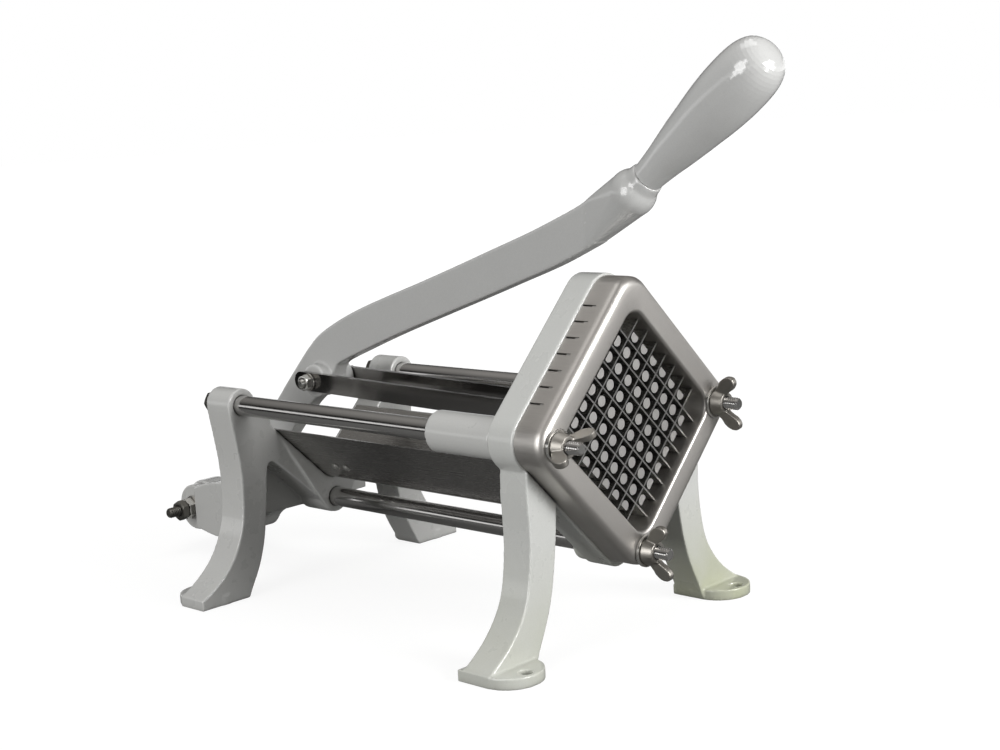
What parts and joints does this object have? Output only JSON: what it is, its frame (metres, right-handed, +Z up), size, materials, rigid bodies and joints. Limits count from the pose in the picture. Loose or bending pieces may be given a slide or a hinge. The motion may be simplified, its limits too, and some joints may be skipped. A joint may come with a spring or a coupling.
{
  "type": "french fry cutter",
  "caption": "Lever french fry cutter: cast stand, V trough, pin pusher on two guide rods, crossed blade grid in a steel pan held by wing nuts, and a long hand lever with links.",
  "frame": {"origin": "on the floor, midway between the two front bolt holes", "axes": "+X to the right seen from the blade face, +Y from the blade face to the lever pivot, +Z up"},
  "size_m": [0.1958, 0.4507, 0.286],
  "materials": {
    "enamel": "light grey gloss enamel on castings",
    "grip_enamel": "smooth light grey gloss enamel",
    "sheet_steel": "brushed stainless sheet",
    "blade_steel": "ground stainless strip",
    "pin_steel": "turned pins with bright faces",
    "chrome": "polished chrome",
    "bright_fastener": "bright zinc plate",
    "dark_fastener": "dark oiled steel",
    "bronze": "plain sintered bronze"
  },
  "bodies": {
    "stand": {"front_frame": "enamel", "rear_frame": "enamel", "guide_rod_left": "chrome", "guide_rod_right": "chrome", "tie_rod_bottom": "chrome", "rod_rear_washers": "bright_fastener", "rod_rear_nuts": "dark_fastener", "food_trough": "sheet_steel", "trough_rivets": "bright_fastener", "blade_pan": "sheet_steel", "blades_front_set": "blade_steel", "blades_rear_set": "blade_steel", "wing_nut_washers": "bright_fastener", "pivot_bolt": "dark_fastener", "pivot_washers": "bright_fastener", "pivot_nut": "bright_fastener", "pivot_lock_nut": "dark_fastener"},
    "pusher": {"pusher_block": "enamel", "pusher_bushes": "bronze", "pusher_pins": "pin_steel"},
    "lever": {"lever_arm": "enamel", "lever_grip": "grip_enamel", "grip_stud": "bright_fastener", "link_bolt": "bright_fastener", "link_washers": "bright_fastener", "link_bolt_nut": "bright_fastener"},
    "links": {"link_bar_left": "chrome", "link_bar_right": "chrome", "link_front_screws": "bright_fastener"},
    "left_wing_nut": {"wing_nut_left": "dark_fastener"},
    "right_wing_nut": {"wing_nut_right": "dark_fastener"},
    "bottom_wing_nut": {"wing_nut_bottom": "dark_fastener"}
  },
  "joints": [
    {"name": "lever_swing", "type": "hinge", "parent": "stand", "child": "lever", "pos_m": [0, 0.342, 0.026], "axis": [-1, 0, 0], "range_deg": [0, 57]},
    {"name": "pusher_slide", "type": "slide", "parent": "stand", "child": "pusher", "axis": [0, 1, 0], "range_m": [0, 0.1425]},
    {"name": "link_swing", "type": "hinge", "parent": "lever", "child": "links", "pos_m": [0, 0.2205, 0.114], "axis": [1, 0, 0], "range_deg": [0, 78.7]},
    {"name": "left_wing_nut_turn", "type": "hinge", "parent": "stand", "child": "left_wing_nut", "pos_m": [-0.0605, -0.013, 0.108], "axis": [0, 1, 0], "continuous": true},
    {"name": "right_wing_nut_turn", "type": "hinge", "parent": "stand", "child": "right_wing_nut", "pos_m": [0.0605, -0.013, 0.108], "axis": [0, 1, 0], "continuous": true},
    {"name": "bottom_wing_nut_turn", "type": "hinge", "parent": "stand", "child": "bottom_wing_nut", "pos_m": [0, -0.013, 0.0445], "axis": [0, 1, 0], "continuous": true}
  ],
  "couplings": [
    {"joint": "pusher_slide", "follows": "lever_swing", "m_per_rad": 0.1432},
    {"joint": "link_swing", "follows": "lever_swing", "ratio": 1.3795}
  ]
}
